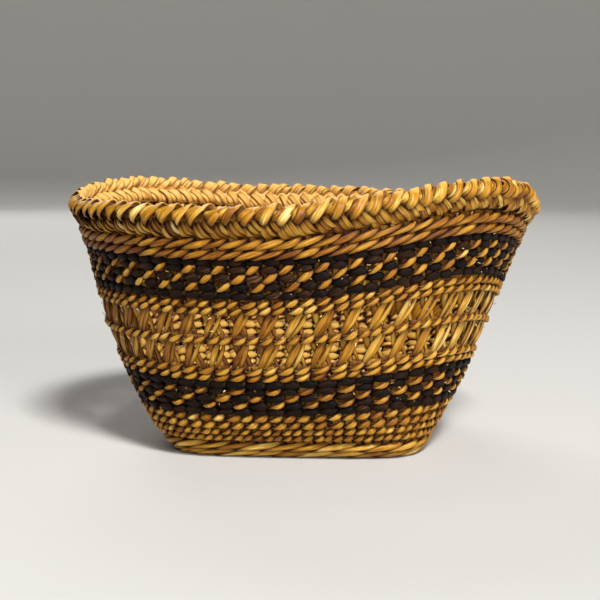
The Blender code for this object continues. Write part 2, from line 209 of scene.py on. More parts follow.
# The crossed warps: how far a leg leans to the side over the openwork's height, the widths of the broad and
# the narrow grass stem in one leg, how far each lies off the leg's middle as a share of the other's width,
# their thickness, the crease along them, how far the layers stand apart where they cross, how far a leg runs
# on into the courses, and how much broader stems are at the back
LEG_LEAN = 0.0042
BROAD_STEM = 0.00200
NARROW_STEM = 0.00125
BROAD_PLACE = -0.55
NARROW_PLACE = 0.62
STEM_THICKNESS = 0.00055
STEM_CREASE = 0.35
LEG_BULGE = 0.00055
LEG_HOLD = 0.0009
BACK_BREADTH = 1.15

# Chance in the crossed warps: how far a crossing strays as a share of their spacing, and how much a leg's
# lean, its place through the wall, the turn of its face and the breadth of a stem differ
CROSSING_STRAY = 0.06
LEAN_SPREAD = 0.25
LEG_STRAY = 0.00015
LEG_TWIST = 0.35
BREADTH_SPREAD = 0.15

# One stem: how broad it is at its ends as a share, the power that fills it out between them, its shades, how
# much painted shade darkens it in the back layer, behind the front one, the painted shade at its ends, where
# they go into the courses, how much paler it is as painted light on the side where the light falls strongest,
# and the direction of that side
STEM_END = 0.6
STEM_FULLNESS = 0.7
STEM_TONES = (0.24, 0.66)
BACK_STEM_SHADE = 0.10
STEM_END_SHADE = 0.7
STEM_PAINTED_LIGHT = 0.20
LIT_SIDE = -0.35

# The braid: turns of a bundle round the rim, the nodes of its bundles, strips in a bundle, how far a bundle
# swings up, down and outwards from the braid's middle, how early it comes out, the share of the third
# harmonic that straightens its way, and how long it holds its crest
BRAID_TURNS = 30
BUNDLE_NODES = ("rim_braid", "rim_braid_second", "rim_braid_third")
BUNDLE_STRIPS = 3
BRAID_RISE = 0.0031
BRAID_DROP = 0.0040
BRAID_DEPTH = 0.0019
BRAID_EARLINESS = 0.34
BRAID_STRAIGHTNESS = 0.06
BRAID_HOLD = 0.9

# One strip of a bundle: its width, thickness and crease, its spacing as a share of its width, how much closer
# and how much broader strips get towards the rim, how far one lies over the next, how far by chance it slips
# sideways and lifts off, and how much its shade and its width differ from the next one's
BRAID_STRIP_WIDTH = 0.00172
BRAID_STRIP_THICKNESS = 0.00045
BRAID_STRIP_CREASE = 0.28
BRAID_SPACING = 0.70
BRAID_FANNING = 0.24
BRAID_TOP_BREADTH = 0.35
BRAID_SHINGLE = 0.00036
STRIP_SLIP = 0.00034
STRIP_LIFT = 0.00026
STRIP_SHADES = 0.22
STRIP_WIDTH_SPREAD = 0.3

# How much a bundle's reach and its depth differ by chance, how soon on its way in it counts as inner, the
# painted shade where bundles cross, how much less of it there is inside, where the inner wall is lit, and how
# far up and down it goes as a share of the bundle's reach
REACH_SPREAD = 0.14
DEPTH_SPREAD = 0.12
BUNDLE_INNER_GAIN = 1.5
CROSSING_PAINTED_SHADE = 0.9
LESS_PAINTED_SHADE_INSIDE = 0.7
CROSSING_PAINTED_SHADE_REACH = 0.3

# The core of the braid, the cut warp ends that it wraps: its width up the wall, its thickness, how far below
# the braid's middle it lies, and its two layers: name, side of the wall, shade, painted shade with some dirt,
# and how much painted light it takes as an inner side. The outer layer is darkened as painted shade in the
# braid's gaps, and the inner layer is painted paler as light
CORE_WIDTH = 0.0074
CORE_THICKNESS = 0.0018
CORE_DROP = 0.0010
CORE_LAYERS = (("core", 1, 0.3, 0.35, 0.0), ("lit_inner_side", -1, 0.5, 0.15, 1.0))

# Points along a strand in one turn of it, along a bundle in one turn, along a stem, and round a section, and
# the power that squares off a section's edges
POINTS_IN_TURN = 14
BRAID_POINTS_IN_TURN = 26
STEM_POINTS = 11
SIDES = 10
SECTION_FLATNESS = 0.75

# Painted shade, with some dirt, darkens the edges of a strand where it meets its neighbours: its strength
# there, and how sharply it keeps to the edge
EDGE_SHADE_AND_DIRT = 0.95
EDGE_SHARPNESS = 5

# Share of chance in the work of the hand: width of a strand, how far it strays, slow bends of a course in
# one round, how far a stitch strays along its course as a share of a stitch, and stitches before a new
# strand is laid in
WIDTH_SPREAD = 0.18
STRAY = 0.00013
SWAYS = 16
STITCH_STRAY = 0.16
STITCHES_IN_STRAND = 7

# Shades of the strands that are laid in, and how far a single stitch strays from its strand's shade
LAID_IN_TONES = (0.38, 0.66)
STITCH_TONE_STRAY = 0.08

# How much broader a stitch is at its upper end than in its middle, as a share, and how soon on its way in a
# strand counts as inner
STITCH_SWELL = 0.22
INNER_GAIN = 2

# Mean of the cosine over the half turn that a strand shows outside
MEAN_OUTER_COSINE = 2 / math.pi

# Warps inside the tight courses: points up one, sides of its section, how much of the stitch it fills, how
# far it runs on above and below its course, its shades, and the painted shade with some dirt that darkens it
# deep in the weave. How many turn up out of the base inside its cord, and the middle and the length of those
# as shares of the cord's height
WARP_POINTS = 4
WARP_SIDES = 6
WARP_FILL = 0.95
WARP_HOLD = 0.0003
WARP_TONES = (0.1, 0.6)
WARP_SHADE_AND_DIRT = 0.45
FOOT_WARPS = 104
FOOT_WARP_MIDDLE = 0.6
FOOT_WARP_LENGTH = 0.9

# Broken fibre ends: name, heights of the wall that they stand out of, and how many
LOOSE_FIBRES = (
    ("fibre_ends_lower_band", 0.0145, 0.0238, 70),
    ("fibre_ends_openwork", 0.0330, 0.0440, 50),
    ("fibre_ends_upper_band", 0.0475, 0.0575, 110),
)

# One fibre end: points along it, sides of its section, its length and its width at the root from least to
# most, the share of that width at its tip, its thickness, how deep its root lies, how strongly it bends, its
# shades, and the least and most of its direction along, up and out of the wall
FIBRE_POINTS = 6
FIBRE_SIDES = 6
FIBRE_LENGTHS = (0.0005, 0.0012)
FIBRE_WIDTHS = (0.00026, 0.00045)
FIBRE_TIP = 0.4
FIBRE_THICKNESS = 0.00014
FIBRE_ROOT = 0.0004
FIBRE_BEND = 150
FIBRE_TONES = (0.9, 1.3)
FIBRE_LEANS = ((-1, 1), (-0.7, 0.9), (0.25, 0.8))

# Fibres in a stem are about 0.05 mm wide, but they are drawn as streaks about 0.2 mm wide and 4 mm long. A
# stem also turns slowly paler and browner along it, in longer and broader patches. Then the noise's levels
# of detail in streaks and in patches, the height of the streaks' relief, and how far along the pattern each
# strand starts after the last one, so that no two look alike
STREAK_LENGTH = 0.0040
STREAK_WIDTH = 0.00022
PATCH_LENGTH = 0.0090
PATCH_WIDTH = 0.0030
STREAK_DETAIL = 3.0
PATCH_DETAIL = 2.0
FIBRE_RELIEF = 0.00020
STRAND_OFFSET = 0.731

# How much rougher a fibre is under full dirt, and the roughness and the tint of the bark's soft sheen
DIRT_ROUGHNESS = 0.6
SHEEN_ROUGHNESS = 0.4
SHEEN_TINT = "E8C8A0"

# Sockets for colours on a mixing node, which has other sockets of the same names
MIX_FIRST = 6
MIX_SECOND = 7
MIX_RESULT = 2

# The stage: radius of the floor's middle face and of the flat floor, how wide it bends up, height of the
# backdrop, sides of the round, rings of points in the floor and in the bend, and the paper's look
FLOOR_MIDDLE = 0.05
FLOOR_RADIUS = 2.2
BACKDROP_BEND = 1.4
BACKDROP_HEIGHT = 3.6
STAGE_SIDES = 96
FLOOR_RINGS = 8
BEND_RINGS = 16
PAPER = "CCCAC6"
PAPER_ROUGHNESS = 0.9

# Square lamps, all aimed at one point: name, place, side, and power in watts
LAMP_AIM = (0, 0, 0.03)
LAMPS = (
    ("key_lamp", (0.57, -1.36, 1.65), 0.40, 60.0),
    ("front_lamp", (1.21, -1.76, 0.62), 0.66, 25.0),
    ("back_lamp", (-0.66, 1.76, 1.21), 1.1, 16.0),
)

# Colour and strength of the dim light from all round
SURROUND = "FFF0DC"
SURROUND_STRENGTH = 0.04

# Camera, fitted to the photograph: place, aim as angles about X and Z, focal length on a 36 mm frame, and
# the distance that it sees from
CAMERA_PLACE = (0.0303, -0.3729, 0.0782)
CAMERA_PITCH = math.radians(84.12)
CAMERA_TURN = math.radians(4.83)
FOCAL_LENGTH = 76.28
FRAME_WIDTH = 36.0
CAMERA_CLIP = 0.01

# Chance of the handwork, which is the same each time
CHANCE_SEED = 7
chance = np.random.default_rng(CHANCE_SEED)


def colour(code):
    """An sRGB hex code as linear red, green, blue and alpha."""
    parts = [int(code[i : i + 2], 16) / 255 for i in (0, 2, 4)]
    linear = [c / 12.92 if c <= 0.04045 else ((c + 0.055) / 1.055) ** 2.4 for c in parts]
    return (*linear, 1)


def unit(vectors):
    """The vectors brought to length 1."""
    return vectors / np.linalg.norm(vectors, axis=-1, keepdims=True)


def stray(most, *shape):
    """Chance values from minus this most to this most."""
    return chance.uniform(-most, most, shape)


def half_size(start, flare, height):
    """Half the wall's outer width or depth: an even flare, eased off with the height squared, less a tuck
    that fades out upwards, and with a spread that fades out downwards."""
    tuck = FOOT_TUCK * np.exp(-height / FOOT_TUCK_FADE)
    spread = RIM_SPREAD * np.exp((height - WALL_TOP) / RIM_SPREAD_FADE)
    return start + flare * height - height**2 / FLARE_EASING - tuck + spread


def foot_reach(height):
    """How far the foot reaches out to +X at a height, faded out upwards."""
    return FOOT_REACH * np.exp(-height / FOOT_REACH_FADE)


def belly(height):
    """How far the -X side bellies out at a height: a bell curve about its middle height."""
    return BELLY * np.exp(-(((height - BELLY_HEIGHT) / BELLY_SPREAD) ** 2))


def wall_middle(height):
    """How far the middle of the wall stands to +X at a height."""
    drift = RIM_DRIFT * (np.exp((height - BRAID_MIDDLE) / RIM_DRIFT_FADE) - 1)
    return foot_reach(height) - belly(height) + drift


def half_width(height):
    """Half the wall's outer width at a height."""
    return half_size(HALF_WIDTH, WIDTH_FLARE, height) + foot_reach(height) + belly(height)


def half_depth(height):
    """Half the wall's outer depth at a height."""
    return half_size(HALF_DEPTH, DEPTH_FLARE, height)


def backness(angle):
    """From 0 along the front half of the wall to 1 along most of the back half, eased at the sides."""
    return 1 - np.exp(-((np.maximum(0, np.sin(angle)) / BACK_EASING) ** 2))


def rise(angle, height):
    """How far the hand-made wall stands above its even height: a sum of cosines round the basket, and a
    swell at the back."""
    share = (np.maximum(0, height - BASE_CORD_HEIGHT) / WAVE_REACH) ** WAVE_EASING
    swell = BACK_LIFT * np.exp(-(((height - BACK_LIFT_HEIGHT) / BACK_LIFT_SPREAD) ** 2))
    even = sum(size * np.cos(turns * (angle - math.radians(at))) for turns, size, at in WAVES)
    return share * even + swell * backness(angle)


def wall_point(share, height):
    """Points on the wall's outer face, a share of the way round it and at a height of the even wall.

    The outline is the superellipse |x/a|^n + |y/b|^n = 1. Its half sizes a and b and its power n follow the
    height, and the distance from the middle is that of the outline in the point's direction.
    """
    share, height = np.broadcast_arrays(share, height)
    fade = np.exp(-height / SQUARENESS_FADE)
    angle = 2 * np.pi * share + CORNER_SPREAD * fade * np.sin(8 * np.pi * share)
    power = RIM_SQUARENESS + (BASE_SQUARENESS - RIM_SQUARENESS) * fade
    across = np.abs(np.cos(angle)) / half_width(height)
    deep = np.abs(np.sin(angle)) / half_depth(height)
    radius = (across**power + deep**power) ** (-1 / power)
    x = radius * np.cos(angle) + wall_middle(height)
    return np.stack((x, radius * np.sin(angle), height + rise(angle, height)), axis=-1)


def wall_axes(share, height):
    """Unit directions on the wall: along it to the right, up it, and out of it."""
    along = unit(wall_point(share + SHARE_STEP, height) - wall_point(share - SHARE_STEP, height))
    up = wall_point(share, height + HEIGHT_STEP) - wall_point(share, height - HEIGHT_STEP)
    out = unit(np.cross(along, up))
    return along, np.cross(out, along), out


def girth(height):
    """Length once round the wall's outer face at a height."""
    ring = wall_point(np.linspace(0, 1, GIRTH_POINTS), height)
    return np.linalg.norm(np.diff(ring, axis=0), axis=-1).sum()


def wander(rows, knots, points):
    """Smooth chance values from -1 to 1 in closed rows: a value at each knot, eased between by a cosine."""
    values = stray(1, rows, knots)
    place = np.arange(points) * knots / points
    knot = place.astype(int)
    ease = (1 - np.cos(np.pi * (place - knot))) / 2
    return values[:, knot] * (1 - ease) + values[:, (knot + 1) % knots] * ease


def stitch_tones(phase, stitches_in_strand):
    """Shade of each stitch: one for each strand of grass, changed where a new strand is laid in, and a
    smaller change from stitch to stitch. A stitch is half a turn either side of its outermost point."""
    strands = len(phase)
    number = np.floor(phase / (2 * np.pi) + 0.5).astype(int)
    number -= number.min()
    laid_in = chance.uniform(*LAID_IN_TONES, (strands, number.max() // stitches_in_strand + 2))
    single = stray(STITCH_TONE_STRAY, strands, number.max() + 1)
    row = np.arange(strands)[:, None]
    start = chance.integers(0, stitches_in_strand, (strands, 1))
    return laid_in[row, (number + start) // stitches_in_strand] + single[row, number]


def plateau(wave, hold):
    """The wave, held near its crests: the hyperbolic tangent of the wave times hold, scaled back to 1."""
    return np.tanh(hold * wave) / math.tanh(hold)


def ribbon(path, face, width, thickness, closed, sides=SIDES, crease=0.0):
    """Rings of points round flat strands.

    A ring is a flattened oval square to the path: the cosine of the turn, squared off at the edges, times
    half the width across the strand, and the sine times half the thickness towards its face. A crease
    folds it along its middle, by this share of its width.
    """
    if closed:
        ahead = np.roll(path, -1, axis=1) - np.roll(path, 1, axis=1)
    else:
        ahead = np.gradient(path, axis=1)
    ahead = unit(ahead)
    side = unit(np.cross(ahead, face))
    face = np.cross(side, ahead)
    turn = 2 * np.pi * np.arange(sides) / sides
    across = np.sign(np.cos(turn)) * np.abs(np.cos(turn)) ** SECTION_FLATNESS / 2
    through = np.sin(turn) / 2
    folded = crease * (0.25 - np.abs(across))
    width = np.broadcast_to(width, path.shape[:2])[..., None, None]
    thickness = np.broadcast_to(thickness, path.shape[:2])[..., None, None]
    sideways = width * across[:, None] * side[:, :, None]
    outwards = (thickness * through[:, None] + width * folded[:, None]) * face[:, :, None]
    return path[:, :, None] + sideways + outwards


def make_strands(name, rings, tone, recess, closed, finish, nodes=(), inward=0.0, painted_light_inside=0.0):
    """One piece from rings of points: quads from each ring to the next, and a face on each open end.

    The UV map runs in metres along the strand and round its section. One attribute gives each point the shade
    of its strand; a second gives the painted shade, with some dirt, that darkens it deep in the weave and
    along its edges; a third gives the painted light that brightens it on the wall's inner side. A strand with
    painted light inside gets that on the half of it that faces inwards.
    """
    strands, points, sides = rings.shape[:3]
    steps = points if closed else points - 1
    strand, point, side = np.meshgrid(range(strands), range(steps), range(sides), indexing="ij")
    corner_point = np.stack((point, point + 1, point + 1, point), axis=-1)
    corner_side = np.stack((side, side, side + 1, side + 1), axis=-1)
    first = strand[..., None] * points * sides
    corners = (first + corner_point % points * sides + corner_side % sides).reshape(-1)
    starts = np.arange(len(corners) // 4) * 4

    centres = rings.mean(axis=2)
    gaps = np.linalg.norm(np.roll(centres, -1, axis=1) - centres, axis=-1)
    length = np.concatenate((np.zeros((strands, 1)), np.cumsum(gaps, axis=1)), axis=1)
    length += np.arange(strands)[:, None] * STRAND_OFFSET
    around = np.linalg.norm(np.roll(rings, -1, axis=2) - rings, axis=-1).mean() * np.arange(sides + 1)
    uv = np.stack((length[strand[..., None], corner_point], around[corner_side]), axis=-1).reshape(-1, 2)

    if not closed:
        ring = np.arange(sides)
        first = np.arange(strands)[:, None] * points * sides
        ends = np.concatenate((first + ring, first + (points - 1) * sides + ring[::-1]))
        starts = np.concatenate((starts, len(corners) + np.arange(len(ends)) * sides))
        corners = np.concatenate((corners, ends.reshape(-1)))
        uv = np.concatenate((uv, np.zeros((ends.size, 2))))

    mesh = bpy.data.meshes.new(name)
    mesh.vertices.add(rings.size // 3)
    mesh.vertices.foreach_set("co", rings.reshape(-1))
    mesh.loops.add(len(corners))
    mesh.loops.foreach_set("vertex_index", corners)
    mesh.polygons.add(len(starts))
    mesh.polygons.foreach_set("loop_start", starts)
    mesh.update(calc_edges=True)
    mesh.shade_smooth()
    mesh.uv_layers.new(name="along_strand").uv.foreach_set("vector", uv.reshape(-1))
    # Painted shade, with some dirt, darkens each strand along its edges, where it meets its neighbours
    edge = EDGE_SHADE_AND_DIRT * np.abs(np.cos(2 * np.pi * np.arange(sides) / sides)) ** EDGE_SHARPNESS
    inner_side = painted_light_inside * (np.arange(sides) > sides / 2)
    shades = (("tone", tone, 0 * edge), ("recess", recess, edge), ("inward", inward, inner_side))
    for label, values, extra in shades:
        values = np.broadcast_to(values, (strands, points))[..., None] + extra
        mesh.attributes.new(label, "FLOAT", "POINT").data.foreach_set("value", values.reshape(-1))
    mesh.materials.append(finish)
    piece = bpy.data.objects.new(name, mesh)
    bpy.context.scene.collection.objects.link(piece)
    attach(piece, "root")
    if nodes:
        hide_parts(*nodes)


def add_node(tree, kind, settings, inputs):
    """Adds a node, gives it its settings and colour stops, and sets or links each of its inputs."""
    node = tree.nodes.new(kind)
    for name, value in settings.items():
        if name == "stops":
            ramp = node.color_ramp.elements
            while len(ramp) < len(value):
                ramp.new(0.5)
            for stop, (place, code) in zip(ramp, value):
                stop.position = place
                stop.color = colour(code)
        else:
            setattr(node, name, value)
    for name, value in inputs.items():
        if isinstance(value, bpy.types.NodeSocket):
            tree.links.new(value, node.inputs[name])
        else:
            node.inputs[name].default_value = value
    return node


def maths(tree, operation, *values, clamp=False):
    """The result of a sum on sockets and numbers, kept between 0 and 1 where it is clamped."""
    settings = {"operation": operation, "use_clamp": clamp}
    return add_node(tree, "ShaderNodeMath", settings, dict(enumerate(values))).outputs["Value"]


def noise(tree, uv, length, width, detail):
    """Noise in spots of this length along the strand and this width round it."""
    scale = (1 / length, 1 / width, 1)
    stretched = add_node(tree, "ShaderNodeMapping", {}, {"Vector": uv, "Scale": scale})
    inputs = {"Vector": stretched.outputs["Vector"], "Scale": 1.0, "Detail": detail}
    return add_node(tree, "ShaderNodeTexNoise", {}, inputs).outputs["Fac"]


def mixed(tree, factor, first, second, blend):
    """Two colours blended, the second one as strongly as the factor says."""
    settings = {"data_type": "RGBA", "blend_type": blend}
    inputs = {"Factor": factor, MIX_FIRST: first, MIX_SECOND: second}
    return add_node(tree, "ShaderNodeMix", settings, inputs).outputs[MIX_RESULT]


def fibre_material(name, stops, look):
    """A plant fibre: its shade follows the strand, with fine streaks along it, and painted shade with some
    dirt deep in the weave.

    Streaks and patches move the shade up and down a ramp of colours. The inner side takes a paler colour as
    painted light, and the painted shade and dirt darken it towards a darker colour and roughen it.
    """
    material = bpy.data.materials.new(name)
    material.use_nodes = True
    tree = material.node_tree
    shader = tree.nodes["Principled BSDF"]
    uv = add_node(tree, "ShaderNodeUVMap", {"uv_map": "along_strand"}, {}).outputs["UV"]
    tone, recess, inward = (
        add_node(tree, "ShaderNodeAttribute", {"attribute_name": label}, {}).outputs["Fac"]
        for label in ("tone", "recess", "inward")
    )
    streaks = noise(tree, uv, STREAK_LENGTH, STREAK_WIDTH, STREAK_DETAIL)
    patches = noise(tree, uv, PATCH_LENGTH, PATCH_WIDTH, PATCH_DETAIL)
    streaked = maths(tree, "MULTIPLY_ADD", streaks, look["streak"], tone)
    patched = maths(tree, "MULTIPLY_ADD", patches, look["patch"], streaked)
    centred = maths(tree, "SUBTRACT", patched, (look["streak"] + look["patch"]) / 2)
    shade = add_node(tree, "ShaderNodeValToRGB", {"stops": stops}, {"Fac": centred}).outputs["Color"]
    # Painted light: the inner side of the wall takes a paler colour
    lit_inner_share = maths(tree, "MULTIPLY", inward, look["lit_inner_side_share"])
    sided = mixed(tree, lit_inner_share, shade, colour(look["lit_inner_side"]), "MIX")
    # Painted shade, with some dirt, darkens the colour deep in the weave and roughens it
    shade_and_dirt = maths(tree, "MULTIPLY", recess, look["shade_and_dirt"], clamp=True)
    shaded_and_soiled = mixed(tree, shade_and_dirt, sided, colour(look["shade_and_soil"]), "MULTIPLY")
    rough = maths(tree, "MULTIPLY_ADD", streaks, look["rough_spread"], look["roughness"])
    dusty = maths(tree, "MULTIPLY_ADD", shade_and_dirt, DIRT_ROUGHNESS, rough, clamp=True)
    relief = {"Height": streaks, "Strength": look["relief"], "Distance": FIBRE_RELIEF}
    bump = add_node(tree, "ShaderNodeBump", {}, relief)
    tree.links.new(shaded_and_soiled, shader.inputs["Base Color"])
    tree.links.new(dusty, shader.inputs["Roughness"])
    tree.links.new(bump.outputs["Normal"], shader.inputs["Normal"])
    shader.inputs["IOR"].default_value = look["ior"]
    shader.inputs["Sheen Weight"].default_value = look["sheen"]
    shader.inputs["Sheen Roughness"].default_value = SHEEN_ROUGHNESS
    shader.inputs["Sheen Tint"].default_value = colour(SHEEN_TINT)
    return material


# Dried swamp grass, split and twined damp: a satin straw with fine lengthwise fibres, golden to tan
# Painted shade darkens it deep in the weave, and its inner side is painted paler as light
dry_grass = fibre_material(
    "dry_grass",
    ((0.0, "4A2002"), (0.25, "824A08"), (0.5, "AE7716"), (0.75, "CE9E3C"), (1.0, "F0D68E")),
    dict(
        streak=1.20, patch=0.80, shade_and_dirt=1.0, shade_and_soil="4A2408", roughness=0.28, rough_spread=0.30, relief=1.0,
        ior=1.34, sheen=0.0, lit_inner_side="ECB45E", lit_inner_side_share=0.9,
    ),
)

# Bark dyed black, wrapped round straw: a matt near-black brown outside, with straw colour inside, painted
# paler there as light on the inner wall
dyed_bark = fibre_material(
    "dyed_bark",
    ((0.0, "020101"), (0.35, "0C0604"), (0.62, "1E0F07"), (0.82, "361C0A"), (1.0, "604226")),
    dict(
        streak=1.1, patch=0.9, shade_and_dirt=0.8, shade_and_soil="120A06", roughness=0.42, rough_spread=0.3, relief=1.0,
        ior=1.20, sheen=0.0, lit_inner_side="D8A850", lit_inner_side_share=1.0,
    ),
)

# Inner cedar bark in flat strips: dull reddish brown, with long fibres that show as darker lines
cedar_bark = fibre_material(
    "cedar_bark",
    ((0.0, "4C2E18"), (0.35, "7A4E2A"), (0.7, "A3743F"), (1.0, "C79B62")),
    dict(
        streak=1.1, patch=0.8, shade_and_dirt=0.5, shade_and_soil="5A3418", roughness=0.55, rough_spread=0.25, relief=0.8,
        ior=1.4, sheen=0.08, lit_inner_side="B08850", lit_inner_side_share=0.0,
    ),
)


def twined_rings(weft, turns, middle_height, start, which=None, wobble=None, upright=False):
    """Rings, shades, painted shade with dirt where they dive, and painted light on the inner sides of the
    strands of one course.

    Strands are spaced evenly round the course's middle. Each swings up with the sine of its phase, less a
    dip with the cosine, and out with a held cosine, so that it leans up to the right outside and dives
    steeply between the warps. Its flat face turns with it, and it is pinched where it dives.
    """
    points = turns * POINTS_IN_TURN
    share = np.arange(points) / points
    if wobble is None:
        wobble = course_wobble(turns, weft["strands"])
    shifted = share + wobble
    strands = np.array(range(weft["strands"]) if which is None else which)
    phase = 2 * np.pi * (turns * share + start + strands[:, None] / weft["strands"])
    phase = phase - weft["dwell"] * np.sin(phase)
    along, up, out = wall_axes(shifted, middle_height)
    if upright:
        up = np.broadcast_to((0.0, 0.0, 1.0), out.shape)
        out = unit(np.cross(along, up))
    held = plateau(np.cos(phase), weft["hold"])
    sway = wander(1, SWAYS, points) * STRAY
    outwards = weft["stand"] - WALL_THICKNESS / 2 + weft["out"] * held
    outwards = outwards + wander(len(strands), turns, points) * STRAY
    upwards = weft["up"] * np.sin(phase) - weft["dip"] * (np.cos(phase) - MEAN_OUTER_COSINE)
    upwards = upwards + wander(len(strands), turns, points) * STRAY + sway
    path = wall_point(shifted, middle_height) + upwards[..., None] * up + outwards[..., None] * out
    twist = np.sqrt(np.maximum(0, 1 - held**2)) * np.sign(np.sin(phase))
    face = held[..., None] * out + twist[..., None] * up
    width = weft["width"] * (1 + WIDTH_SPREAD * wander(len(strands), turns, points))
    width = width * (1 - weft["pinch"] * (1 - np.abs(held))) * (1 + STITCH_SWELL * np.sin(phase))
    rings = ribbon(path, face, width, weft["thickness"], True)
    inner = np.clip(-INNER_GAIN * held, 0, 1)
    # Where a strand dives into the wall it gets painted shade with some dirt, and on the wall's inner side
    # painted light
    return rings, stitch_tones(phase, STITCHES_IN_STRAND), 1 - np.abs(held), inner


def make_weft(name, weft, finish, node):
    """One piece from what twined_rings returns, in place of a node of the same course."""
    rings, tone, recess, inward = weft
    make_strands(name, rings, tone, recess, True, finish, (node,), inward)


def course_wobble(turns, strands):
    """Shares of the way round by which stitches of a course stray along it."""
    points = turns * POINTS_IN_TURN
    return wander(1, turns * strands, points)[0] * STITCH_STRAY / (turns * strands)


def course_warps(weft, turns, middle_height, pitch, start, wobble):
    """Rings of the upright stems that the stitches of one course enclose, up the middle of the wall."""
    count = turns * weft["strands"]
    points = turns * POINTS_IN_TURN
    share = np.arange(count) / count - start / turns
    share = (share + np.interp(share, np.arange(points) / points, wobble, period=1))[:, None]
    height = middle_height + np.linspace(-0.5, 0.5, WARP_POINTS)[None, :] * (pitch + 2 * WARP_HOLD)
    _, _, out = wall_axes(share, height)
    path = wall_point(share, height) + (weft["stand"] - WALL_THICKNESS / 2) * out
    width = WARP_FILL * girth(middle_height) / count
    return ribbon(path, out, width, STEM_THICKNESS, False, WARP_SIDES)


def make_course(label, kind, stitches, bottom, top, row):
    """The weft of one course, as a piece for its dark strands and a piece for its straw strands. Returns
    the rings of the warps inside it."""
    middle = (bottom + top) / 2
    if kind.endswith("checked"):
        tan_weft = WEFTS[kind.replace("checked", "tan")]
        turns = stitches // tan_weft["strands"]
        wobble = course_wobble(turns, tan_weft["strands"])
        start = -CHECK_SHIFT * row
        dark = twined_rings(WEFTS["dark"], turns, middle, start, (0,), wobble)
        make_weft(f"{label}_dark_weft", dark, dyed_bark, label)
        tan = twined_rings(tan_weft, turns, middle, start, (1,), wobble)
        make_weft(f"{label}_tan_weft", tan, dry_grass, label)
        return course_warps(tan_weft, turns, middle, top - bottom, start, wobble)
    weft = WEFTS[kind]
    turns = stitches // weft["strands"]
    wobble = course_wobble(turns, weft["strands"])
    start = 0 if kind == "ridge" else chance.uniform(0, START_STRAY)
    rings = twined_rings(weft, turns, middle, start, None, wobble)
    finish, slot = (dyed_bark, "dark_bark") if kind == "dark" else (dry_grass, "grass")
    if kind == "ridge":
        slot = "heavy_grass"
        # Painted shade: the ridges' grass is darkened to stand in for the shade between their strands
        rings = (rings[0], rings[1] - RIDGE_PAINTED_SHADE, *rings[2:])
    make_weft(f"{label}_weft", rings, finish, label)
    return course_warps(weft, turns, middle, top - bottom, start, wobble)


def make_crossed_warps(label, bottom, top, count):
    """Warps that cross in the open: legs of two stems lean right in front, and legs lean left behind.

    A leg crosses from one side of its crossing to the other as its height grows, bulges out or in of the
    wall with the sine of its height, and is broadest at mid height.
    """
    rise_share = np.linspace(0, 1, STEM_POINTS)
    height = bottom - LEG_HOLD + (top - bottom + 2 * LEG_HOLD) * rise_share
    length = girth((bottom + top) / 2)
    swell = np.sin(np.pi * rise_share)
    for layer, lean, half in (("front", 1, "a"), ("back", -1, "b")):
        for stem, width, offset in (
            ("broad", BROAD_STEM, BROAD_PLACE * NARROW_STEM),
            ("narrow", NARROW_STEM, NARROW_PLACE * BROAD_STEM),
        ):
            crossing = np.arange(count)[:, None] + 0.5 + stray(CROSSING_STRAY, count, 1)
            leaning = LEG_LEAN * (1 + stray(LEAN_SPREAD, count, 1))
            sideways = lean * leaning * (rise_share - 0.5)
            sideways = sideways + offset * (STEM_END + (1 - STEM_END) * swell)
            share = crossing / count + sideways / length
            along, _, out = wall_axes(share, height)
            bulge = lean * LEG_BULGE * swell + stray(LEG_STRAY, count, 1)
            path = wall_point(share, height) + (bulge - WALL_THICKNESS / 2)[..., None] * out
            face = out + stray(LEG_TWIST, count, 1, 1) * along
            breadth = width * (1 + stray(BREADTH_SPREAD, count, 1))
            breadth = breadth * (STEM_END + (1 - STEM_END) * swell**STEM_FULLNESS)
            breadth = breadth * (1 + BACK_BREADTH * backness(2 * np.pi * share))
            rings = ribbon(path, face, breadth, STEM_THICKNESS, False, SIDES, STEM_CREASE)
            # Painted shade: the back layer is darker, lying behind the front one
            tone = chance.uniform(*STEM_TONES, (count, 1)) - (BACK_STEM_SHADE if layer == "back" else 0)
            # Painted light: stems are paler towards the side that the light falls on most
            tone = tone + STEM_PAINTED_LIGHT * np.maximum(0, np.cos(2 * np.pi * share - LIT_SIDE)) ** 2
            # Painted shade at a stem's ends, where they go into the courses
            recess = (1 - swell) * STEM_END_SHADE
            piece, node = f"{label}_{layer}_{stem}", f"{label}_{half}"
            make_strands(piece, rings, tone, recess, False, dry_grass, (node,))


